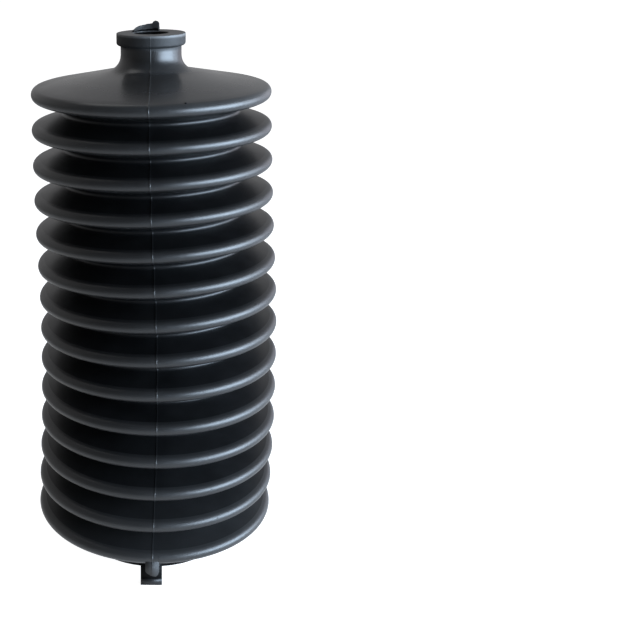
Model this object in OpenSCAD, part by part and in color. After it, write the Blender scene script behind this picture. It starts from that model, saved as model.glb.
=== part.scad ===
// Steering rack boot: one rubber moulding with a row of convolutions between a small neck,
// which grips the tie rod, and a large cuff, which is strapped over the end of the rack housing.
// The axis is +Z, towards the neck. The origin is the centre of the cuff's mouth.
// The mould's parting line runs down the front (-Y) and the back (+Y).

/* [Bellows] */
// Number of convolutions
fold_count = 14; // [3:1:18]
// Outside diameter over the first crest, next to the neck
neck_crest_diameter = 83; // [78:0.2:92]
// Outside diameter over the last crest, next to the cuff
cuff_crest_diameter = 89; // [84:0.2:96]
// How far the middle crests stand out past a straight taper between those two
crest_swell = 0.3; // [0:0.1:1]
// Depth of the folds, from crest to root
fold_depth = 11.1; // [9:0.1:13]
// Spacing of the crests next to the neck
neck_pitch = 11.9; // [11:0.1:14]
// Spacing of the crests next to the cuff
cuff_pitch = 12.4; // [11:0.1:14]
// Outside radius of a crest
crest_round = 2.3; // [2.2:0.1:3]
// Outside radius of a root
root_round = 1.1; // [0.8:0.1:2.2]
// Thickness of the rubber in the convolutions and the cuff
wall = 1.8; // [1.2:0.1:2]

/* [Neck] */
// Diameter of the bore that grips the tie rod
neck_bore = 12; // [9:0.5:15]
// Thickness of the rubber round that bore
neck_wall = 4.3; // [3:0.1:6]
// Length of the strap's seat on the neck
neck_seat = 4.8; // [2:0.1:9]
// How far the end lip stands out from the neck
neck_lip_step = 1.5; // [0.8:0.1:2.5]
// Height of the end lip
neck_lip_height = 3.5; // [2:0.1:6]
// Slope of the shoulder between the neck and the first crest, in degrees
shoulder_slope = 11.2; // [4:0.2:18]
// Fillet between the neck and the shoulder
neck_fillet = 4; // [2:0.1:6]
// Rounding of the bore's inner end
neck_inner_round = 1.6; // [0.8:0.1:2.4]

/* [Cuff] */
// Diameter of the bore that sits on the rack housing
cuff_bore = 45; // [38:0.5:50]
// Length of the strap's seat on the cuff
cuff_seat = 7.2; // [4:0.1:12]
// How far the end lip stands out from the seat
cuff_lip_step = 1.4; // [0.8:0.1:2]
// Height of the end lip
cuff_lip_height = 2.4; // [1.8:0.1:4]
// Slope of the web between the last crest and the cuff, in degrees
web_slope = 5; // [2:0.5:12]
// Fillet between the cuff and the web
cuff_fillet = 1.2; // [0.6:0.1:2]

/* [Tab and lug] */
// Width of the tab
tab_width = 8; // [6:0.2:11]
// How far the tab reaches past the mouth
tab_drop = 9; // [6:0.2:12]
// Thickness of the tab
tab_thickness = 2.2; // [1.6:0.1:2.6]
// Width of the lug under the last crest, over the tab
lug_width = 4.9; // [3:0.1:6]
// Height of the lug's round lower end over the mouth
lug_foot = 7; // [5.5:0.1:9]
// Thickness of the lug
lug_thickness = 3; // [2:0.1:4]

/* [Mould marks] */
// Height of the parting line over the skin
seam_height = 0.2; // [0.1:0.05:0.4]
// Width of the parting line
seam_width = 0.5; // [0.3:0.1:1]
// Height of the flap of flash that was left standing behind the bore when it was torn out
flash_height = 3.9; // [2:0.1:5]
// Thickness of that flap
flash_thickness = 0.9; // [0.5:0.1:1.4]

/* [Hidden] */
$fn = 96;

crest_steps = 7;
root_steps = 5;
fillet_steps = 6;
lip_round = 0.5;
lip_steps = 3;
// How deep a raised mark is rooted in the rubber
mark_root = 0.9;
// Clearance of the flash from the edge of the bore, and how deep it is rooted
flash_gap = 0.3;
flash_root = 0.8;
// Height of the tab's root inside the lip, and how far its face stands out from the lip
tab_root = 1.6;
tab_stand = 0.15;
// How far the lug's face lies inside the crest's widest line
lug_inset = 0.1;

neck_radius = neck_bore / 2 + neck_wall;
cuff_radius = cuff_bore / 2 + wall;
neck_lip_radius = neck_radius + neck_lip_step;
cuff_lip_radius = cuff_radius + cuff_lip_step;
flash_radius = neck_bore / 2 + flash_gap;

// Crests and roots are counted from the neck, and root k lies between crests k and k + 1
function crest_radius(k) =
    let (share = k / (fold_count - 1))
    (neck_crest_diameter + (cuff_crest_diameter - neck_crest_diameter) * share) / 2
        + 4 * crest_swell * share * (1 - share);

// Radius at which the centre of a crest's or root's rounding lies
function crest_centre(k) = crest_radius(k) - crest_round;
function root_centre(k) = crest_radius(k + 0.5) - fold_depth + root_round;

// Height over the plane of crest k, at the given radius, of the centre of a fillet that touches
// a web leaving that crest at the given slope, at the given depth under its skin
function fillet_rise(k, radius, fillet, slope, depth) =
    let (reach = crest_round - depth + fillet)
    reach * cos(slope) + tan(slope) * (crest_centre(k) + reach * sin(slope) - radius);

last_crest_z = cuff_lip_height + cuff_seat
    + fillet_rise(fold_count - 1, cuff_radius + cuff_fillet, cuff_fillet, web_slope, 0);

// Spacing between crest k and the next one
function pitch(k) = neck_pitch + (cuff_pitch - neck_pitch) * k / (fold_count - 2);

function crest_z(k) = last_crest_z + (fold_count - 1 - k) * (pitch(k) + cuff_pitch) / 2;

neck_fillet_z = crest_z(0) + fillet_rise(0, neck_radius + neck_fillet, neck_fillet, shoulder_slope, 0);
neck_lip_z = neck_fillet_z + neck_seat;
top_z = neck_lip_z + neck_lip_height;

// Slope of the flank between a crest and a root next to it: the line that touches both roundings
function flank_slope(crest, root) =
    let (run = crest_centre(crest) - root_centre(root), rise = pitch(root) / 2)
    atan2(rise, run) - asin((crest_round + root_round) / norm([run, rise]));

function arc(centre, radius, from, to, steps) =
    [for (i = [0 : steps]) let (a = from + (to - from) * i / steps) centre + radius * [cos(a), sin(a)]];

function reversed(points) = [for (i = [len(points) - 1 : -1 : 0]) points[i]];

function crest_arc(k, depth) =
    let (
        above = k == 0 ? shoulder_slope : flank_slope(k, k - 1),
        below = k == fold_count - 1 ? web_slope : flank_slope(k, k)
    )
    arc([crest_centre(k), crest_z(k)], crest_round - depth, 90 - above, below - 90, crest_steps);

function root_arc(k, depth) =
    arc([root_centre(k), (crest_z(k) + crest_z(k + 1)) / 2], root_round + depth,
        90 + flank_slope(k, k), 270 - flank_slope(k + 1, k), root_steps);

// The convolutions from the neck down, at a depth under the outer skin
function folds(depth) =
    [for (k = [0 : fold_count - 1]) each concat(crest_arc(k, depth), k < fold_count - 1 ? root_arc(k, depth) : [])];

function neck_corner(depth) =
    arc([neck_radius + neck_fillet, neck_fillet_z], neck_fillet + depth, 180, 270 - shoulder_slope, fillet_steps);

function cuff_corner(depth) =
    arc([cuff_radius + cuff_fillet, cuff_lip_height + cuff_seat], cuff_fillet + depth, 90 + web_slope, 180, fillet_steps);

// Inner end of the neck's bore, rounded into the underside of the shoulder
function bore_corner() =
    let (radius = neck_bore / 2 + neck_inner_round)
    arc([radius, crest_z(0) + fillet_rise(0, radius, neck_inner_round, shoulder_slope, wall)],
        neck_inner_round, 180, 270 - shoulder_slope, fillet_steps);

// A lip with rounded outer edges, from its top to its underside
function lip(radius, bottom, top) =
    concat(
        arc([radius - lip_round, top - lip_round], lip_round, 90, 0, lip_steps),
        arc([radius - lip_round, bottom + lip_round], lip_round, 0, -90, lip_steps)
    );

// The whole skin from the neck's lip to the cuff's lip, raised by the given height
function skin(height) =
    concat(
        lip(neck_lip_radius + height, neck_lip_z - height, top_z),
        [[neck_radius + height, neck_lip_z - height]],
        neck_corner(-height),
        folds(-height),
        cuff_corner(-height),
        [[cuff_radius + height, cuff_lip_height + height]],
        lip(cuff_lip_radius + height, 0, cuff_lip_height + height)
    );

function hollow() =
    concat(
        [[neck_bore / 2, top_z]],
        bore_corner(),
        folds(wall),
        cuff_corner(wall),
        [[cuff_bore / 2, 0]]
    );

// Line inside the rubber from which the parting line grows
function seam_core() =
    concat(
        [[neck_radius - mark_root, top_z - lip_round]],
        neck_corner(mark_root),
        folds(mark_root),
        cuff_corner(mark_root),
        [[cuff_radius - mark_root, lip_round]]
    );

module revolved_body() {
    rotate_extrude() polygon(concat(skin(0), reversed(hollow())));
}

// Fine raised line that the two halves of the mould leave, on the side at the given angle
module parting_line(angle) {
    rotate([90, 0, angle])
        linear_extrude(seam_width, center = true)
            polygon(concat(skin(seam_height), reversed(seam_core())));
}

module locating_tab() {
    translate([-tab_width / 2, -cuff_lip_radius - tab_stand, -tab_drop])
        cube([tab_width, tab_thickness, tab_drop + tab_root]);
}

// Lug that hangs from the last crest: its face carries the crest on downwards to a half circle
module crest_lug() {
    last = fold_count - 1;
    face = crest_radius(last) - lug_inset;
    back = face - lug_thickness;
    end_radius = lug_width / 2;
    intersection() {
        rotate([90, 0, -90])
            linear_extrude(lug_width, center = true)
                polygon(concat(
                    [[face, lug_foot], [face, last_crest_z]],
                    arc([crest_centre(last), last_crest_z], crest_round - mark_root, 0, web_slope - 90, crest_steps),
                    [[back, last_crest_z - crest_round + mark_root], [back, lug_foot]]
                ));
        rotate([90, 0, 0])
            linear_extrude(face + 1) {
                translate([0, lug_foot + end_radius]) circle(end_radius);
                translate([-end_radius, lug_foot + end_radius]) square([lug_width, last_crest_z]);
            }
    }
}

// Ragged flap of flash, seen from the front as a ramp that rises to the right and ends in a knob
module torn_flash() {
    left = -flash_radius;
    right = flash_radius / 2;
    ragged_edge = [
        [left, 0.15], [-0.8 * flash_radius, 0.4], [-0.5 * flash_radius, 0.6],
        [-0.2 * flash_radius, 0.7], [0.15 * flash_radius, 0.76], [0.2 * flash_radius, 1], [right, 1]
    ];
    intersection() {
        translate([0, 0, top_z - flash_root]) difference() {
            cylinder(h = flash_root + flash_height + 1, r = flash_radius + flash_thickness);
            translate([0, 0, -1]) cylinder(h = flash_root + flash_height + 3, r = flash_radius);
        }
        translate([0, 0, top_z])
            rotate([90, 0, 180])
                linear_extrude(flash_radius + flash_thickness + 1)
                    mirror([1, 0])
                        polygon(concat(
                            [[right, -flash_root - 1], [left, -flash_root - 1]],
                            [for (p = ragged_edge) [p[0], p[1] * flash_height]]
                        ));
    }
}

module boot() {
    color([0.09, 0.09, 0.1]) union() {
        revolved_body();
        for (angle = [-90, 90]) parting_line(angle);
        locating_tab();
        crest_lug();
        torn_flash();
    }
}

boot();
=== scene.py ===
# Looks of the steering rack boot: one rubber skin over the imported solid, its finish, the studio
# and the camera. Sizes are in millimetres and are made metres when a mesh is built.

import math

import bmesh
import bpy
import numpy as np
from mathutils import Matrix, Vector, noise


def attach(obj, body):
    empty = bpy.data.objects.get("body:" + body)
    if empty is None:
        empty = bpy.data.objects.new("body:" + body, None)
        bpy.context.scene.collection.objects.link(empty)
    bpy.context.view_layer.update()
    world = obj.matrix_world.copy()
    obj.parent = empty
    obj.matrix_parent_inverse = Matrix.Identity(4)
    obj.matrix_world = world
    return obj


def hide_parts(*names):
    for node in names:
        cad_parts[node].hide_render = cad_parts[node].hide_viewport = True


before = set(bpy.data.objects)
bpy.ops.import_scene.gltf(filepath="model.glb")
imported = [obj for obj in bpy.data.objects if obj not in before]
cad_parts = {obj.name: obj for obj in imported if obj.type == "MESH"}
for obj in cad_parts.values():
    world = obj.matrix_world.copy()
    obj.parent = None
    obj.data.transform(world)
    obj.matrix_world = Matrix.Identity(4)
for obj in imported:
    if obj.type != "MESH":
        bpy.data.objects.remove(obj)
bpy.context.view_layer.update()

MM = 0.001

# Bellows, as in the solid
FOLD_COUNT = 14
NECK_CREST_RADIUS = 41.5
CUFF_CREST_RADIUS = 44.5
CREST_SWELL = 0.3
FOLD_DEPTH = 11.1
NECK_PITCH = 11.9
CUFF_PITCH = 12.4
CREST_ROUND = 2.3
ROOT_ROUND = 1.1
WALL = 1.8

# Neck, with its seat, lip and fillet as the outline in the photograph asks for
NECK_BORE_RADIUS = 6.0
NECK_RADIUS = 10.44
NECK_SEAT = 3.2
NECK_LIP_STEP = 1.4
NECK_LIP_HEIGHT = 4.1
SHOULDER_SLOPE = 11.2
NECK_FILLET = 5.47
NECK_INNER_ROUND = 1.6

# Cuff, as in the solid
CUFF_BORE_RADIUS = 22.5
CUFF_RADIUS = CUFF_BORE_RADIUS + WALL
CUFF_SEAT = 7.2
CUFF_LIP_STEP = 1.4
CUFF_LIP_HEIGHT = 2.4
WEB_SLOPE = 5.0
CUFF_FILLET = 1.2

# Tab on the front of the cuff with a bead along its lower end, and lug that hangs from the last
# crest over it
TAB_WIDTH = 8.0
TAB_OFFSET = -0.75
TAB_DROP = 7.7
TAB_THICKNESS = 2.2
TAB_ROOT = 1.6
TAB_STAND = 0.15
TAB_EDGE = 0.3
BEAD_HEIGHT = 2.5
BEAD_STAND = 0.3
LUG_HALF_WIDTH = 2.45
LUG_THICKNESS = 3.0
LUG_INSET = 0.1
LUG_TOP_INSET = 0.6
LUG_EDGE = 0.3
# Lower end of the lug from left to right, as it was trimmed: along X and over the mouth
LUG_END = [(-2.45, 9.7), (-1.7, 8.8), (-0.5, 8.0), (0.5, 7.7), (1.4, 7.7), (2.1, 8.6), (2.45, 9.8)]

# Flap of flash behind the bore: where its ends lie along X, and how high its torn edge is, as
# shares of the flap's height at shares of the way from left to right
FLASH_RADIUS = 6.3
FLASH_LEFT = -6.0
FLASH_RIGHT = 2.55
FLASH_HEIGHT = 3.35
FLASH_EDGE = [
    (0.0, 0.15), (0.14, 0.44), (0.31, 0.58), (0.43, 0.64), (0.56, 0.69), (0.73, 0.76),
    (0.79, 0.96), (0.86, 1.0), (0.96, 0.96), (1.0, 0.83),
]
# Rows of the flap's inner face from the lowest up: share of the height, distance inside its line
FLASH_INNER_FACE = [
    (-0.35, 0.0), (0.0, 0.05), (0.14, 0.15), (0.27, 0.4),
    (0.38, 0.3), (0.6, 0.1), (0.85, 0.05), (1.0, -0.02),
]
# How many of those rows lie in the dark of the bore, and get the matte rubber there as painted
# shade
FLASH_SHADED_ROWS = 3
FLASH_FOOT_THICKNESS = 0.9
FLASH_TORN_THICKNESS = 0.35
# How far the torn edge falls to the outside, as a share of the thickness
FLASH_FALL = 0.12
# Jags of the torn edge: their height, and for the coarse and the fine ones how close they follow
# each other, their share of that height and their place in the noise
FLASH_JAG = 0.2
FLASH_JAGS = [(9.0, 1.0, (2.7, 0.4)), (31.0, 0.6, (8.1, 3.3))]
# Waves of the flap's faces: how far they stand out, how close they follow each other along the
# flap and from row to row, and their place in the noise
FLASH_WAVE = 0.14
FLASH_WAVES_ALONG = 5.0
FLASH_WAVES_UP = 0.8
FLASH_WAVE_PLACE = 6.5
FLASH_COLUMNS = 48

# Specks of rubber on crests: crest, turn from the front, direction on the rounding, size
NUBS = [
    (1, -0.4, 25, 0.17), (1, -29, 5, 0.2), (8, 2.6, -5, 0.16),
    (8, -28.7, -8, 0.2), (13, 3.0, 20, 0.3), (12, 15, 62, 0.16),
    (11, 15.5, 66, 0.16), (11, 27, 20, 0.22), (12, 31, 22, 0.24),
]
NUB_PROPORTIONS = (1.0, 0.8, 0.7)

# Dark crumb on the first crest, described like a speck
CRUMB = (0, 17.05, 72, 0.4)

# Rounding of the moulded edges
LIP_EDGE = 0.25
LIP_UNDERSIDE_EDGE = 0.9
BORE_EDGE = 0.35
CORNER_ROUND = 0.35

# Rounding of the edges of tab, bead and lug: the angle over which an edge is sharp, how close to
# the top of the bar an edge stays sharp, and the faces across the rounding
SHARP_ANGLE = 40
COVERED_TOP = 0.01
ROUNDING_FACES = 3

# Parting lines on the front and the back: their height, half of their width, their size on the
# neck against that on the bellows, and the columns across one, in half widths from its middle
SEAM_ANGLES = (-math.pi / 2, math.pi / 2)
SEAM_HEIGHT = 0.11
SEAM_HALF_WIDTH = 0.25
SEAM_ON_NECK = 0.55
SEAM_COLUMNS = (-2.2, -1.0, -0.5, 0.0, 0.5, 1.0, 2.2)

# How far the crests' finish reaches onto the flanks
BAND_ON_FLANK = 0.9

# Steps in which the section's round stretches are drawn, points within its straight ones, and
# columns round each half of the boot
CREST_STEPS = 11
ROOT_STEPS = 7
INNER_CREST_STEPS = 5
INNER_ROOT_STEPS = 4
FILLET_STEPS = 7
EDGE_STEPS = 4
LIP_TOP_POINTS = 3
SEAT_POINTS = 2
SHOULDER_POINTS = 8
WEB_POINTS = 3
COLUMNS_BETWEEN_SEAMS = 80

# How this moulding stands in the photograph, at five heights from the last crest to the first:
# sideways bow, lean to the side, lean to the front and change of height. The neck leans to the
# front less than the first crest does, by its nod, and the whole is turned about its axis
BOW = (0.0, 1.35, 1.45, -0.15, -1.08)
SIDE_LEAN = (0.2, 0.1, -1.9, -2.2, -0.8)
FRONT_LEAN = (3.4, 1.4, 0.0, -0.6, 1.0)
LIFT = (2.1, 0.8, 0.3, -0.2, 0.35)
NECK_NOD = -0.6
TURN = -1.0

# Finishes of the rubber: satin on the neck, the shoulder, the crests and the specks; dull, a less
# reflective copy of the satin, as painted shade on the flanks between the crests, and on the bead;
# matte, darker still, as painted shade in the hollow, on the cuff, the tab and the flap's foot, and
# for the dark crumb; and torn on the flap and on the lug, which was trimmed. Each has its
# refraction, the colours of its clouds, a painted sheen (colour added by height where light falls,
# on the lower folds, the dome and the lip's top) and roughness at heights over the mouth, how much
# the clouds change the roughness, and scale and depth of each grain
SATIN, SHADED_DULL, MATTE_SHADE_AND_CRUMB, TORN = range(4)
SATIN_LOOK = {
    "ior": 1.46,
    "dark": (0.003, 0.0031, 0.0034),
    "light": (0.0052, 0.0054, 0.0058),
    # Painted sheen: colour added where light falls, on the lower folds, the dome and the lip's top
    "painted_sheen": [
        (0.0, 0.012), (20.0, 0.009), (40.0, 0.006), (60.0, 0.005), (110.0, 0.0025), (172.0, 0.004),
        (175.0, 0.022), (180.0, 0.023), (184.0, 0.001), (192.1, 0.001), (192.25, 0.075),
    ],
    "roughness": [
        (0.0, 0.4), (172.0, 0.38), (179.0, 0.22), (182.0, 0.33),
        (187.6, 0.35), (188.0, 0.68), (191.9, 0.68), (192.2, 0.5),
    ],
    "patchiness": 0.1,
    "grain": [(420, 0.004), (1900, 0.02)],
}
# Dull rubber: the satin's colours with less reflection, painted shade on the flanks between the
# crests
SHADED_DULL_LOOK = {
    "ior": 1.31,
    "dark": (0.003, 0.0031, 0.0034),
    "light": (0.0052, 0.0054, 0.0058),
    # Painted sheen: colour added on the lower flanks, which catch more light
    "painted_sheen": [(0.0, 0.009), (20.0, 0.006), (38.0, 0.001), (75.0, 0.0)],
    "roughness": [(0.0, 0.37), (192.0, 0.34)],
    "patchiness": 0.1,
    "grain": [(420, 0.004), (1900, 0.006)],
}
# Matte rubber: darker colours and little reflection, painted shade in the hollow and on the cuff,
# the tab and the flap's foot; also the dark crumb
MATTE_SHADE_AND_CRUMB_LOOK = {
    "ior": 1.15,
    "dark": (0.002, 0.002, 0.0022),
    "light": (0.005, 0.005, 0.0053),
    "painted_sheen": [(0.0, 0.0), (192.0, 0.0)],
    "roughness": [(0.0, 0.6), (192.0, 0.7)],
    "patchiness": 0.2,
    "grain": [(700, 0.08), (1900, 0.02)],
}
TORN_LOOK = {
    "ior": 1.42,
    "dark": (0.006, 0.006, 0.0062),
    "light": (0.03, 0.03, 0.0305),
    # Painted sheen: colour added low down, on the lug
    "painted_sheen": [(0.0, 0.008), (180.0, 0.0)],
    "roughness": [(0.0, 0.62), (192.0, 0.62)],
    "patchiness": 0.2,
    "grain": [(700, 0.08), (1900, 0.02)],
}
LOOKS = [
    ("satin_rubber", SATIN_LOOK),
    ("shaded_dull_rubber", SHADED_DULL_LOOK),
    ("matte_shade_and_crumb_rubber", MATTE_SHADE_AND_CRUMB_LOOK),
    ("torn_rubber", TORN_LOOK),
]

# Scale and detail of the clouds, the stretch of their noise over which the colour changes, its
# middle, and the detail of the grains
CLOUD_SCALE = 110
CLOUD_DETAIL = 4
CLOUD_EDGES = (0.3, 0.7)
CLOUD_MIDDLE = 0.5
GRAIN_DETAIL = 2

# Pale floor, in metres: its glow as the camera sees it, evenly white, and its glow as it lights the
# boot, a painted pool of light that fades at distances from the boot, up to its reach
FLOOR_RADIUS = 9.0
FLOOR_SIDES = 96
FLOOR_COLOUR = (0.5, 0.5, 0.5, 1)
FLOOR_ROUGHNESS = 0.8
FLOOR_GLOW_SEEN = 0.93
FLOOR_REACH = 0.6
# Painted pool of light: the floor's glow that lights the boot, by distance from it
FLOOR_PAINTED_LIGHT_POOL = [(0.0, 0.68), (0.13, 0.58), (0.3, 0.38), (0.55, 0.16)]

# Room: its brightness at heights of the view, and its share from the front round to the back
ROOM_BY_HEIGHT = [(0.45, (0.5, 0.5, 0.51)), (0.78, (0.26, 0.26, 0.27))]
ROOM_FROM_FRONT = [(0.0, 0.35), (0.35, 0.5), (0.5, 1.0)]

# Lamps, in metres and watts: place, the point they face, width, height, power and colour
LAMPS = {
    "window": ((0.53, -0.285, 0.15), (0, 0, 0.15), 0.6, 0.3, 9.6, (0.62, 0.8, 1.0)),
    "window_edge": ((0.6, -0.2, 0.2), (0, 0, 0.2), 1.2, 0.4, 10.6, (0.72, 0.84, 1.0)),
    "window_back": ((0.6, 0.5, 0.2), (0, 0, 0.2), 0.6, 0.4, 0.8, (0.86, 0.86, 1.0)),
    "overhead": ((-0.25, 0.2, 0.85), (0, 0, 0.18), 0.5, 0.3, 0.7, (1.0, 1.0, 1.0)),
}

# Camera, fitted to the photograph: its place, its look downwards in degrees, its focal length and
# the column straight ahead of it in pixels
CAMERA_DISTANCE = 400.0
CAMERA_HEIGHT = 230.3
CAMERA_SIDE = 1.0
CAMERA_DOWN = 19.22
CAMERA_NEAR = 10.0
CAMERA_FOCAL_PIXELS = 1145.9
CAMERA_CENTRE_PIXEL = 157.15
IMAGE_PIXELS = 630
SENSOR_WIDTH = 36.0


def crest_radius(k):
    """Outside radius of crest k, counted from the neck, on the taper with its swell."""
    share = k / (FOLD_COUNT - 1)
    taper = NECK_CREST_RADIUS + (CUFF_CREST_RADIUS - NECK_CREST_RADIUS) * share
    return taper + 4 * CREST_SWELL * share * (1 - share)


def crest_centre(k):
    """Radius at which the centre of crest k's rounding lies."""
    return crest_radius(k) - CREST_ROUND


def root_centre(k):
    """Radius at which the centre of the rounding of root k, below crest k, lies."""
    return crest_radius(k + 0.5) - FOLD_DEPTH + ROOT_ROUND


def fillet_rise(k, radius, fillet, slope, depth=0.0):
    """Height over crest k of the centre of a fillet that touches the web leaving that crest."""
    reach = CREST_ROUND - depth + fillet
    tilt = math.radians(slope)
    run = crest_centre(k) + reach * math.sin(tilt) - radius
    return reach * math.cos(tilt) + math.tan(tilt) * run


LAST_CREST_Z = CUFF_LIP_HEIGHT + CUFF_SEAT + fillet_rise(
    FOLD_COUNT - 1, CUFF_RADIUS + CUFF_FILLET, CUFF_FILLET, WEB_SLOPE
)


def pitch(k):
    """Spacing between crest k and the next one."""
    return NECK_PITCH + (CUFF_PITCH - NECK_PITCH) * k / (FOLD_COUNT - 2)


def crest_z(k):
    """Height of crest k over the mouth."""
    return LAST_CREST_Z + (FOLD_COUNT - 1 - k) * (pitch(k) + CUFF_PITCH) / 2


FIRST_CREST_Z = crest_z(0)
NECK_FILLET_Z = FIRST_CREST_Z + fillet_rise(
    0, NECK_RADIUS + NECK_FILLET, NECK_FILLET, SHOULDER_SLOPE
)
NECK_LIP_Z = NECK_FILLET_Z + NECK_SEAT
TOP_Z = NECK_LIP_Z + NECK_LIP_HEIGHT
LIP_RADIUS = NECK_RADIUS + NECK_LIP_STEP
CUFF_LIP_RADIUS = CUFF_RADIUS + CUFF_LIP_STEP


def flank_slope(crest, root):
    """Slope of the flank between a crest and the root next to it, which touches both roundings."""
    run = crest_centre(crest) - root_centre(root)
    rise = pitch(root) / 2
    lean = math.atan2(rise, run) - math.asin((CREST_ROUND + ROOT_ROUND) / math.hypot(run, rise))
    return math.degrees(lean)


def arc(radius, height, bend, start, end, steps):
    """Points (radius, height) on a round stretch of the section, from one direction to another."""
    angles = np.radians(np.linspace(start, end, steps + 1))
    return np.column_stack([radius + bend * np.cos(angles), height + bend * np.sin(angles)])


def line(start, end, count):
    """Points between two ends of a straight stretch, without the ends."""
    return np.linspace(start, end, count + 2)[1:-1]


def fold_arcs(depth, crest_steps, root_steps):
    """Round stretches of the bellows from the neck down, at a depth under the outer skin."""
    arcs = []
    for k in range(FOLD_COUNT):
        above = SHOULDER_SLOPE if k == 0 else flank_slope(k, k - 1)
        below = WEB_SLOPE if k == FOLD_COUNT - 1 else flank_slope(k, k)
        arcs.append(arc(
            crest_centre(k), crest_z(k), CREST_ROUND - depth, 90 - above, below - 90, crest_steps
        ))
        if k < FOLD_COUNT - 1:
            middle = (crest_z(k) + crest_z(k + 1)) / 2
            arcs.append(arc(
                root_centre(k), middle, ROOT_ROUND + depth,
                90 + flank_slope(k, k), 270 - flank_slope(k + 1, k), root_steps,
            ))
    return arcs


def joined(arcs):
    """One row of points from arcs of crests and roots in turn. Each flank between them gets a point
    where the crest's finish ends and one in its middle."""
    rows = [arcs[0]]
    for i, (last, following) in enumerate(zip(arcs, arcs[1:])):
        inwards = i % 2 == 0
        crest, root = (last[-1], following[0]) if inwards else (following[0], last[-1])
        share = BAND_ON_FLANK / np.linalg.norm(root - crest)
        flank = [crest + share * (root - crest), (crest + root) / 2]
        rows += [flank if inwards else flank[::-1], following]
    return np.vstack(rows)


def outer_section():
    """The skin from the bore's edge over lip, neck, shoulder and folds to the cuff's mouth."""
    lip_top = [
        arc(NECK_BORE_RADIUS + BORE_EDGE, TOP_Z - BORE_EDGE, BORE_EDGE, 180, 90, EDGE_STEPS),
        line((NECK_BORE_RADIUS + BORE_EDGE, TOP_Z), (LIP_RADIUS - LIP_EDGE, TOP_Z), LIP_TOP_POINTS),
        arc(LIP_RADIUS - LIP_EDGE, TOP_Z - LIP_EDGE, LIP_EDGE, 90, 0, EDGE_STEPS),
        arc(
            LIP_RADIUS - LIP_UNDERSIDE_EDGE, NECK_LIP_Z + LIP_UNDERSIDE_EDGE,
            LIP_UNDERSIDE_EDGE, 0, -90, EDGE_STEPS,
        ),
        arc(
            NECK_RADIUS + CORNER_ROUND, NECK_LIP_Z - CORNER_ROUND,
            CORNER_ROUND, 90, 180, EDGE_STEPS,
        ),
        line((NECK_RADIUS, NECK_LIP_Z - CORNER_ROUND), (NECK_RADIUS, NECK_FILLET_Z), SEAT_POINTS),
    ]
    neck_corner = arc(
        NECK_RADIUS + NECK_FILLET, NECK_FILLET_Z, NECK_FILLET,
        180, 270 - SHOULDER_SLOPE, FILLET_STEPS,
    )
    folds = joined(fold_arcs(0.0, CREST_STEPS, ROOT_STEPS))
    shoulder = line(neck_corner[-1], folds[0], SHOULDER_POINTS)
    cuff_corner = arc(
        CUFF_RADIUS + CUFF_FILLET, CUFF_LIP_HEIGHT + CUFF_SEAT, CUFF_FILLET,
        90 + WEB_SLOPE, 180, FILLET_STEPS,
    )
    web = line(folds[-1], cuff_corner[0], WEB_POINTS)
    cuff = [
        line(cuff_corner[-1], (CUFF_RADIUS, CUFF_LIP_HEIGHT + CORNER_ROUND), SEAT_POINTS),
        arc(
            CUFF_RADIUS + CORNER_ROUND, CUFF_LIP_HEIGHT + CORNER_ROUND,
            CORNER_ROUND, 180, 270, EDGE_STEPS,
        ),
        arc(CUFF_LIP_RADIUS - LIP_EDGE, CUFF_LIP_HEIGHT - LIP_EDGE, LIP_EDGE, 90, 0, EDGE_STEPS),
        arc(CUFF_LIP_RADIUS - LIP_EDGE, LIP_EDGE, LIP_EDGE, 0, -90, EDGE_STEPS),
    ]
    return np.vstack([*lip_top, neck_corner, shoulder, folds, web, cuff_corner, *cuff])


def inner_section():
    """The hollow's wall, from the cuff's mouth up to the bore's edge."""
    bore_radius = NECK_BORE_RADIUS + NECK_INNER_ROUND
    bore_z = FIRST_CREST_Z + fillet_rise(0, bore_radius, NECK_INNER_ROUND, SHOULDER_SLOPE, WALL)
    bore_corner = arc(
        bore_radius, bore_z, NECK_INNER_ROUND, 180, 270 - SHOULDER_SLOPE, FILLET_STEPS
    )
    cuff_corner = arc(
        CUFF_RADIUS + CUFF_FILLET, CUFF_LIP_HEIGHT + CUFF_SEAT, CUFF_FILLET + WALL,
        90 + WEB_SLOPE, 180, FILLET_STEPS,
    )
    folds = np.vstack(fold_arcs(WALL, INNER_CREST_STEPS, INNER_ROOT_STEPS))
    mouth = [(CUFF_BORE_RADIUS, BORE_EDGE)]
    return np.vstack([bore_corner, folds, cuff_corner, mouth])[::-1]


def outline_normals(points):
    """Directions out of the rubber at the points of a closed section."""
    along = np.roll(points, -1, axis=0) - np.roll(points, 1, axis=0)
    across = np.column_stack([-along[:, 1], along[:, 0]])
    return across / np.linalg.norm(across, axis=1, keepdims=True)


def seam_share(heights):
    """Size of the parting line at each ring, from SEAM_ON_NECK on the neck to 1 on the bellows."""
    return np.interp(heights, [NECK_FILLET_Z - NECK_FILLET, NECK_FILLET_Z], [1.0, SEAM_ON_NECK])


def column_angles(radii, half_widths):
    """Angle of every column at each ring, with close columns at the front and back parting lines.
    The columns of a line keep their distance in millimetres from it, whatever the ring's radius."""
    offsets = half_widths[:, None] * np.array(SEAM_COLUMNS) / radii[:, None]
    edge = offsets[:, -1:]
    shares = np.linspace(0.0, 1.0, COLUMNS_BETWEEN_SEAMS + 1)[1:-1]
    halves = []
    for seam in SEAM_ANGLES:
        halves.append(seam + offsets)
        halves.append(seam + edge + shares * (math.pi - 2 * edge))
    return np.hstack(halves)


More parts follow.
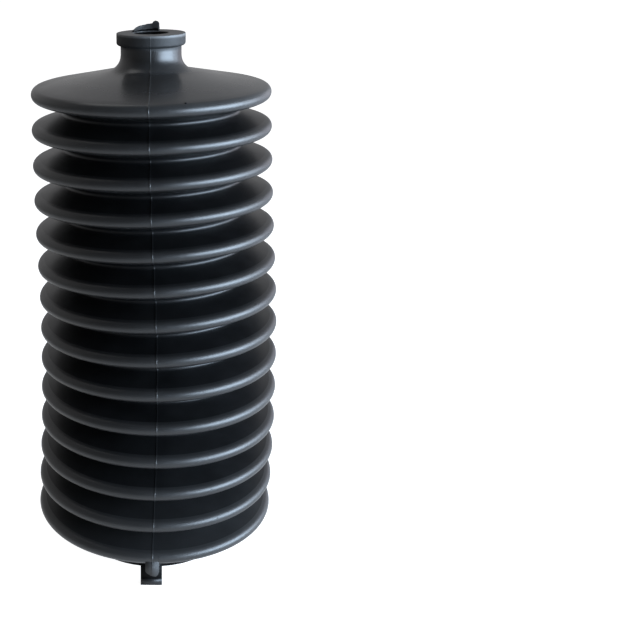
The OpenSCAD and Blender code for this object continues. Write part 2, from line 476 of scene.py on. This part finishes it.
def seam_profile(angles, radii, half_widths):
    """Height of the parting line over the skin at each column, from 0 to 1."""
    from_front, from_back = (
        abs(np.arcsin(np.sin((angles - seam) / 2)) * 2) for seam in SEAM_ANGLES
    )
    distance = np.minimum(from_front, from_back) * radii[:, None]
    share = distance / half_widths[:, None]
    return np.where(share < 1.0, np.cos(share * math.pi / 2) ** 2, 0.0)


def smooth_curve(values, place):
    """Smooth curve through evenly spaced values, at places from 0 to 1."""
    padded = np.array([values[0], *values, values[-1]], float)
    along = np.clip(place, 0.0, 1.0) * (len(values) - 1)
    index = np.minimum(along.astype(int), len(values) - 2)
    u = along - index
    a, b, c, d = (padded[index + i] for i in range(4))
    return b + 0.5 * u * (c - a + u * (2 * a - 5 * b + 4 * c - d + u * (3 * (b - c) + d - a)))


def settled(points):
    """Points of the straight boot moved to where they lie on the moulding in the photograph.
    The cuff keeps its place, and the moves grow from its lip to the last crest."""
    turn = math.radians(TURN)
    x = points[:, 0] * math.cos(turn) - points[:, 1] * math.sin(turn)
    y = points[:, 0] * math.sin(turn) + points[:, 1] * math.cos(turn)
    z = points[:, 2]
    place = (z - LAST_CREST_Z) / (FIRST_CREST_Z - LAST_CREST_Z)
    free = np.clip((z - CUFF_LIP_HEIGHT) / (LAST_CREST_Z - CREST_ROUND - CUFF_LIP_HEIGHT), 0.0, 1.0)
    nod = NECK_NOD * np.clip((z - FIRST_CREST_Z) / (NECK_LIP_Z - FIRST_CREST_Z), 0.0, 1.0)
    side = np.radians(smooth_curve(SIDE_LEAN, place)) * free
    front = np.radians(smooth_curve(FRONT_LEAN, place) + nod) * free
    moved = [
        smooth_curve(BOW, place) * free + x * np.cos(side),
        y * np.cos(front),
        z + smooth_curve(LIFT, place) * free - x * np.sin(side) + y * np.sin(front),
    ]
    return np.column_stack(moved)


def ring_finish(radius, height):
    """Finish of the outer skin between two rings, from the place halfway between them: the matte
    rubber on the cuff and the dull one on the flanks between the crests, both painted shade, and
    satin elsewhere.
    """
    # The cuff gets the matte rubber, painted shade under the last crest
    if height < CUFF_LIP_HEIGHT + CUFF_SEAT:
        return MATTE_SHADE_AND_CRUMB
    nearest = min(range(FOLD_COUNT), key=lambda k: abs(height - crest_z(k)))
    slope = math.radians(flank_slope(1, 1))
    band = CREST_ROUND * (1 - math.sin(slope)) + BAND_ON_FLANK * math.cos(slope)
    inside = crest_radius(nearest) - radius > band
    between_crests = LAST_CREST_Z < height < FIRST_CREST_Z
    # Flanks between the crests get the dull rubber, painted shade
    return SHADED_DULL if inside and between_crests else SATIN


def revolved_skin():
    """Vertices and faces of the boot's one closed skin, straight and in millimetres, and the
    finish of each face."""
    outer = outer_section()
    section = np.vstack([outer, inner_section()])
    normals = outline_normals(section)
    radii = section[:, 0]
    shares = seam_share(section[:, 1])
    half_widths = SEAM_HALF_WIDTH * shares
    angles = column_angles(radii, half_widths)
    raised = SEAM_HEIGHT * shares[:, None] * seam_profile(angles, radii, half_widths)
    raised[len(outer):] = 0.0
    ring_radius = radii[:, None] + raised * normals[:, :1]
    ring_height = section[:, 1:] + raised * normals[:, 1:]
    points = np.stack(
        [ring_radius * np.cos(angles), ring_radius * np.sin(angles), ring_height], axis=2
    ).reshape(-1, 3)
    rings, columns = angles.shape
    index = np.arange(rings * columns).reshape(rings, columns)
    below = np.roll(index, -1, axis=0)
    faces = np.stack(
        [index, below, np.roll(below, -1, axis=1), np.roll(index, -1, axis=1)], axis=2
    ).reshape(-1, 4)
    halfway = (outer + np.roll(outer, -1, axis=0)) / 2
    finishes = [ring_finish(radius, height) for radius, height in halfway]
    # The hollow's wall gets the matte rubber, painted shade
    finishes += [MATTE_SHADE_AND_CRUMB] * (rings - len(outer))
    return points, faces.tolist(), np.repeat(finishes, columns).tolist()


def rounded(form, edge):
    """Points and faces of a form whose sharp edges are rounded, but for those round its top."""
    top = max(v.co.z for v in form.verts) - COVERED_TOP
    sharp = [
        e for e in form.edges
        if e.calc_face_angle() > math.radians(SHARP_ANGLE) and min(v.co.z for v in e.verts) < top
    ]
    bmesh.ops.bevel(
        form, geom=sharp, offset=edge, segments=ROUNDING_FACES, profile=0.5, affect="EDGES"
    )
    bmesh.ops.recalc_face_normals(form, faces=form.faces)
    bmesh.ops.triangulate(form, faces=[f for f in form.faces if len(f.verts) > 4])
    form.verts.index_update()
    points = np.array([v.co for v in form.verts])
    faces = [[v.index for v in f.verts] for f in form.faces]
    form.free()
    return points, faces


def bar(outline, back, front, edge):
    """Bar with the given outline (x, z), from one depth to another along Y, with rounded edges."""
    form = bmesh.new()
    near = [form.verts.new((x, front, z)) for x, z in outline]
    far = [form.verts.new((x, back, z)) for x, z in outline]
    form.faces.new(near)
    form.faces.new(far[::-1])
    count = len(outline)
    for i in range(count):
        j = (i + 1) % count
        form.faces.new((near[j], near[i], far[i], far[j]))
    return rounded(form, edge)


def tab_bar(bottom, top, stand):
    """Bar over the tab's width, with its face at a distance from the cuff's lip."""
    left = TAB_OFFSET - TAB_WIDTH / 2
    right = TAB_OFFSET + TAB_WIDTH / 2
    face = -CUFF_LIP_RADIUS - stand
    outline = [(left, top), (left, bottom), (right, bottom), (right, top)]
    return bar(outline, face + TAB_THICKNESS, face, TAB_EDGE)


def tab():
    """Tab that hangs from the cuff's lip, with its root inside the lip."""
    return tab_bar(-TAB_DROP, TAB_ROOT, TAB_STAND)


def bead():
    """Rough bead along the lower end of the tab, where it was cut off."""
    return tab_bar(-TAB_DROP, BEAD_HEIGHT - TAB_DROP, TAB_STAND + BEAD_STAND)


def lug():
    """Lug whose face carries the last crest on downwards to its trimmed end."""
    face = LUG_INSET - CUFF_CREST_RADIUS
    top = LAST_CREST_Z - LUG_TOP_INSET
    outline = [(-LUG_HALF_WIDTH, top), *LUG_END, (LUG_HALF_WIDTH, top)]
    return bar(outline, face + LUG_THICKNESS, face, LUG_EDGE)


def lug_seam():
    """The parting line where it runs on down the lug."""
    half = SEAM_HALF_WIDTH / 2
    face = LUG_INSET - CUFF_CREST_RADIUS
    foot = LUG_END[2][1] + LUG_EDGE
    outline = [(-half, LAST_CREST_Z), (-half, foot), (half, foot), (half, LAST_CREST_Z)]
    return bar(outline, face + LUG_EDGE, face - SEAM_HEIGHT, SEAM_HEIGHT / 2)


def ragged(place):
    """Height of the torn edge along the flap, from its left end at 0 to its right end at 1."""
    torn = np.interp(place, *zip(*FLASH_EDGE)) * FLASH_HEIGHT
    jags = [
        sum(share * noise.noise(Vector((close * p, *spot))) for close, share, spot in FLASH_JAGS)
        for p in place
    ]
    return torn + FLASH_JAG * np.array(jags)


def torn_flap():
    """Flap of flash left behind the bore, thin where it tore, and the finish of its faces, with
    painted shade (the matte rubber) on its lowest inner rows in the dark of the bore.
    """
    place = np.linspace(0.0, 1.0, FLASH_COLUMNS)
    across = FLASH_LEFT + (FLASH_RIGHT - FLASH_LEFT) * place
    angle = np.arccos(across / FLASH_RADIUS)
    height = ragged(place)
    rows = []
    for share, inside in FLASH_INNER_FACE:
        rows.append((inside, share * height))
    for share, inside in FLASH_INNER_FACE[::-1]:
        thickness = FLASH_FOOT_THICKNESS + (FLASH_TORN_THICKNESS - FLASH_FOOT_THICKNESS) * share
        rows.append((-thickness, share * height - FLASH_FALL * thickness))
    points = []
    for i, (inside, rise) in enumerate(rows):
        wave = [
            noise.noise(Vector((FLASH_WAVES_ALONG * p, FLASH_WAVES_UP * i, FLASH_WAVE_PLACE)))
            for p in place
        ]
        radius = FLASH_RADIUS - inside + FLASH_WAVE * np.array(wave)
        points.append(np.column_stack([
            radius * np.cos(angle), radius * np.sin(angle), TOP_Z + rise
        ]))
    count = len(rows)
    index = np.arange(count * FLASH_COLUMNS).reshape(count, FLASH_COLUMNS)
    after = np.roll(index, -1, axis=0)
    strips = np.stack([index[:, :-1], index[:, 1:], after[:, 1:], after[:, :-1]], axis=2)
    ends = [index[::-1, 0].tolist(), index[:, -1].tolist()]
    faces = strips.reshape(-1, 4).tolist() + ends
    # The lowest rows of the inner face get the matte rubber, painted shade
    dark = FLASH_SHADED_ROWS * (FLASH_COLUMNS - 1)
    return np.vstack(points), faces, [MATTE_SHADE_AND_CRUMB] * dark + [TORN] * (len(faces) - dark)


def nub(crest, turn, lift, size):
    """Speck of rubber on a crest, at a turn from the front and a direction on the rounding."""
    form = bmesh.new()
    bmesh.ops.create_icosphere(form, subdivisions=2, radius=size)
    points = np.array([v.co for v in form.verts]) * NUB_PROPORTIONS
    faces = [[v.index for v in f.verts] for f in form.faces]
    form.free()
    turned = math.radians(turn)
    lifted = math.radians(lift)
    radius = crest_centre(crest) + CREST_ROUND * math.cos(lifted)
    height = crest_z(crest) + CREST_ROUND * math.sin(lifted)
    return points + (radius * math.sin(turned), -radius * math.cos(turned), height), faces


def in_finish(form, finish):
    """A form's points and faces with one finish for all of its faces."""
    points, faces = form
    return points, faces, [finish] * len(faces)


def make_boot_skin():
    """One mesh with every form of the moulding."""
    skin_points, faces, finishes = revolved_skin()
    points = [skin_points]
    # The tab gets the matte rubber, painted shade under the lug and the last crest; the bead gets
    # the dull rubber
    forms = [in_finish(tab(), MATTE_SHADE_AND_CRUMB), in_finish(bead(), SHADED_DULL), torn_flap()]
    forms += [in_finish(form, TORN) for form in (lug(), lug_seam())]
    forms += [in_finish(nub(*place), SATIN) for place in NUBS]
    forms.append(in_finish(nub(*CRUMB), MATTE_SHADE_AND_CRUMB))
    for form_points, form_faces, form_finishes in forms:
        first = sum(len(p) for p in points)
        points.append(form_points)
        faces += [[first + i for i in face] for face in form_faces]
        finishes += form_finishes
    mesh = bpy.data.meshes.new("boot_skin")
    mesh.from_pydata((settled(np.vstack(points)) * MM).tolist(), [], faces)
    mesh.update()
    mesh.polygons.foreach_set("use_smooth", [True] * len(mesh.polygons))
    for name, look in LOOKS:
        mesh.materials.append(make_rubber(name, look))
    mesh.polygons.foreach_set("material_index", finishes)
    piece = bpy.data.objects.new("boot_skin", mesh)
    bpy.context.scene.collection.objects.link(piece)
    return piece


def wired(tree, kind, settings, sources):
    """New shader node with values on some of its sockets and links into others."""
    node = tree.nodes.new(kind)
    for socket, value in settings.items():
        node.inputs[socket].default_value = value
    for socket, source in sources.items():
        tree.links.new(source, node.inputs[socket])
    return node


def maths(tree, operation, first, second):
    """Result of a Math node on a socket and a socket or number."""
    node = tree.nodes.new("ShaderNodeMath")
    node.operation = operation
    tree.links.new(first, node.inputs[0])
    if isinstance(second, float):
        node.inputs[1].default_value = second
    else:
        tree.links.new(second, node.inputs[1])
    return node.outputs["Value"]


def ramp(tree, source, stops):
    """Values or colours laid out along a source that runs from 0 to 1."""
    node = wired(tree, "ShaderNodeValToRGB", {}, {"Fac": source})
    elements = node.color_ramp.elements
    while len(elements) < len(stops):
        elements.new(0.5)
    for element, (position, value) in zip(elements, stops):
        element.position = position
        element.color = (*value, 1) if isinstance(value, tuple) else (value, value, value, 1)
    return node.outputs["Color"]


def make_rubber(name, look):
    """Black rubber: clouds in its colour and gloss, two grains, a painted sheen added to its colour
    by height where light falls, and polish by height.
    """
    material = bpy.data.materials.new(name)
    material.use_nodes = True
    tree = material.node_tree
    shader = tree.nodes["Principled BSDF"]
    shader.inputs["IOR"].default_value = look["ior"]
    place = tree.nodes.new("ShaderNodeTexCoord").outputs["Object"]

    def cloud(scale, detail):
        settings = {"Scale": scale, "Detail": detail}
        return wired(tree, "ShaderNodeTexNoise", settings, {"Vector": place}).outputs["Fac"]

    bloom = cloud(CLOUD_SCALE, CLOUD_DETAIL)
    axes = wired(tree, "ShaderNodeSeparateXYZ", {}, {"Vector": place})
    height = maths(tree, "DIVIDE", axes.outputs["Z"], TOP_Z * MM)
    colour = ramp(tree, bloom, list(zip(CLOUD_EDGES, (look["dark"], look["light"]))))
    # Painted sheen: colour added to the base colour by height, where light falls
    painted_sheen = ramp(tree, height, [(z / TOP_Z, value) for z, value in look["painted_sheen"]])
    painted_sheen_colour = wired(tree, "ShaderNodeVectorMath", {}, {0: colour, 1: painted_sheen})
    tree.links.new(painted_sheen_colour.outputs["Vector"], shader.inputs["Base Color"])

    gloss = ramp(tree, height, [(z / TOP_Z, value) for z, value in look["roughness"]])
    clouds = maths(tree, "SUBTRACT", bloom, CLOUD_MIDDLE)
    patches = maths(tree, "MULTIPLY", clouds, look["patchiness"])
    tree.links.new(maths(tree, "ADD", gloss, patches), shader.inputs["Roughness"])

    normal = None
    for scale, depth in look["grain"]:
        sources = {"Height": cloud(scale, GRAIN_DETAIL)}
        if normal:
            sources["Normal"] = normal
        bump = wired(tree, "ShaderNodeBump", {"Strength": 1.0, "Distance": depth * MM}, sources)
        normal = bump.outputs["Normal"]
    tree.links.new(normal, shader.inputs["Normal"])
    return material


def make_floor():
    """Floor at the height of the tab's lower end. The camera sees it evenly white, while its glow
    that lights the boot, a painted pool of light, fades with the distance from it."""
    mesh = bpy.data.meshes.new("floor")
    form = bmesh.new()
    bmesh.ops.create_circle(form, cap_ends=True, segments=FLOOR_SIDES, radius=FLOOR_RADIUS)
    form.to_mesh(mesh)
    form.free()
    floor = bpy.data.objects.new("floor", mesh)
    floor.location.z = -TAB_DROP * MM
    bpy.context.scene.collection.objects.link(floor)
    material = bpy.data.materials.new("pale_floor")
    material.use_nodes = True
    tree = material.node_tree
    shader = tree.nodes["Principled BSDF"]
    shader.inputs["Base Color"].default_value = FLOOR_COLOUR
    shader.inputs["Roughness"].default_value = FLOOR_ROUGHNESS
    shader.inputs["Emission Color"].default_value = (1, 1, 1, 1)
    seen = tree.nodes.new("ShaderNodeLightPath").outputs["Is Camera Ray"]
    place = tree.nodes.new("ShaderNodeTexCoord").outputs["Object"]
    far = wired(tree, "ShaderNodeVectorMath", {}, {0: place})
    far.operation = "LENGTH"
    share = maths(tree, "DIVIDE", far.outputs["Value"], FLOOR_REACH)
    # Painted pool of light round the boot, seen in reflections and lighting it
    painted_light_pool = ramp(tree, share, [(distance / FLOOR_REACH, value) for distance, value in FLOOR_PAINTED_LIGHT_POOL])
    unseen = maths(tree, "SUBTRACT", painted_light_pool, FLOOR_GLOW_SEEN)
    dimmed = maths(tree, "MULTIPLY", seen, unseen)
    tree.links.new(maths(tree, "SUBTRACT", painted_light_pool, dimmed), shader.inputs["Emission Strength"])
    mesh.materials.append(material)


def add_lamp(name, location, target, width, height, power, colour):
    """Rectangular lamp that faces a target."""
    light = bpy.data.lights.new(name, "AREA")
    light.shape = "RECTANGLE"
    light.size = width
    light.size_y = height
    light.energy = power
    light.color = colour
    lamp = bpy.data.objects.new(name, light)
    lamp.location = location
    facing = Vector(target) - Vector(location)
    lamp.rotation_euler = facing.to_track_quat("-Z", "Y").to_euler()
    bpy.context.scene.collection.objects.link(lamp)


def make_world():
    """Room whose light falls off with the height and to the front, before a white backdrop."""
    world = bpy.data.worlds.new("studio")
    bpy.context.scene.world = world
    world.use_nodes = True
    tree = world.node_tree
    direction = tree.nodes.new("ShaderNodeTexCoord").outputs["Generated"]
    axes = wired(tree, "ShaderNodeSeparateXYZ", {}, {"Vector": direction})
    colour = ramp(tree, axes.outputs["Z"], ROOM_BY_HEIGHT)
    half = maths(tree, "MULTIPLY", axes.outputs["Y"], 0.5)
    # Adding a half makes it run from 0 in front to 1 at the back
    share = ramp(tree, maths(tree, "ADD", half, 0.5), ROOM_FROM_FRONT)
    room = tree.nodes["Background"]
    tree.links.new(colour, room.inputs["Color"])
    tree.links.new(share, room.inputs["Strength"])
    backdrop = wired(tree, "ShaderNodeBackground", {"Color": (1, 1, 1, 1), "Strength": 1.0}, {})
    seen = tree.nodes.new("ShaderNodeLightPath").outputs["Is Camera Ray"]
    sources = {0: seen, 1: room.outputs["Background"], 2: backdrop.outputs["Background"]}
    mix = wired(tree, "ShaderNodeMixShader", {}, sources)
    tree.links.new(mix.outputs["Shader"], tree.nodes["World Output"].inputs["Surface"])


def make_camera():
    """Camera where the photograph was taken from."""
    data = bpy.data.cameras.new("camera")
    data.sensor_width = SENSOR_WIDTH
    data.lens = CAMERA_FOCAL_PIXELS / IMAGE_PIXELS * SENSOR_WIDTH
    data.shift_x = 0.5 - CAMERA_CENTRE_PIXEL / IMAGE_PIXELS
    data.clip_start = CAMERA_NEAR * MM
    camera = bpy.data.objects.new("camera", data)
    camera.location = Vector((CAMERA_SIDE, -CAMERA_DISTANCE, CAMERA_HEIGHT)) * MM
    camera.rotation_euler = (math.radians(90 - CAMERA_DOWN), 0, 0)
    bpy.context.scene.collection.objects.link(camera)
    bpy.context.scene.camera = camera


boot = make_boot_skin()
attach(boot, "root")
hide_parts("boot")

make_floor()
make_world()
for lamp_name, lamp_settings in LAMPS.items():
    add_lamp(lamp_name, *lamp_settings)
make_camera()
bpy.context.scene.view_settings.view_transform = "Standard"
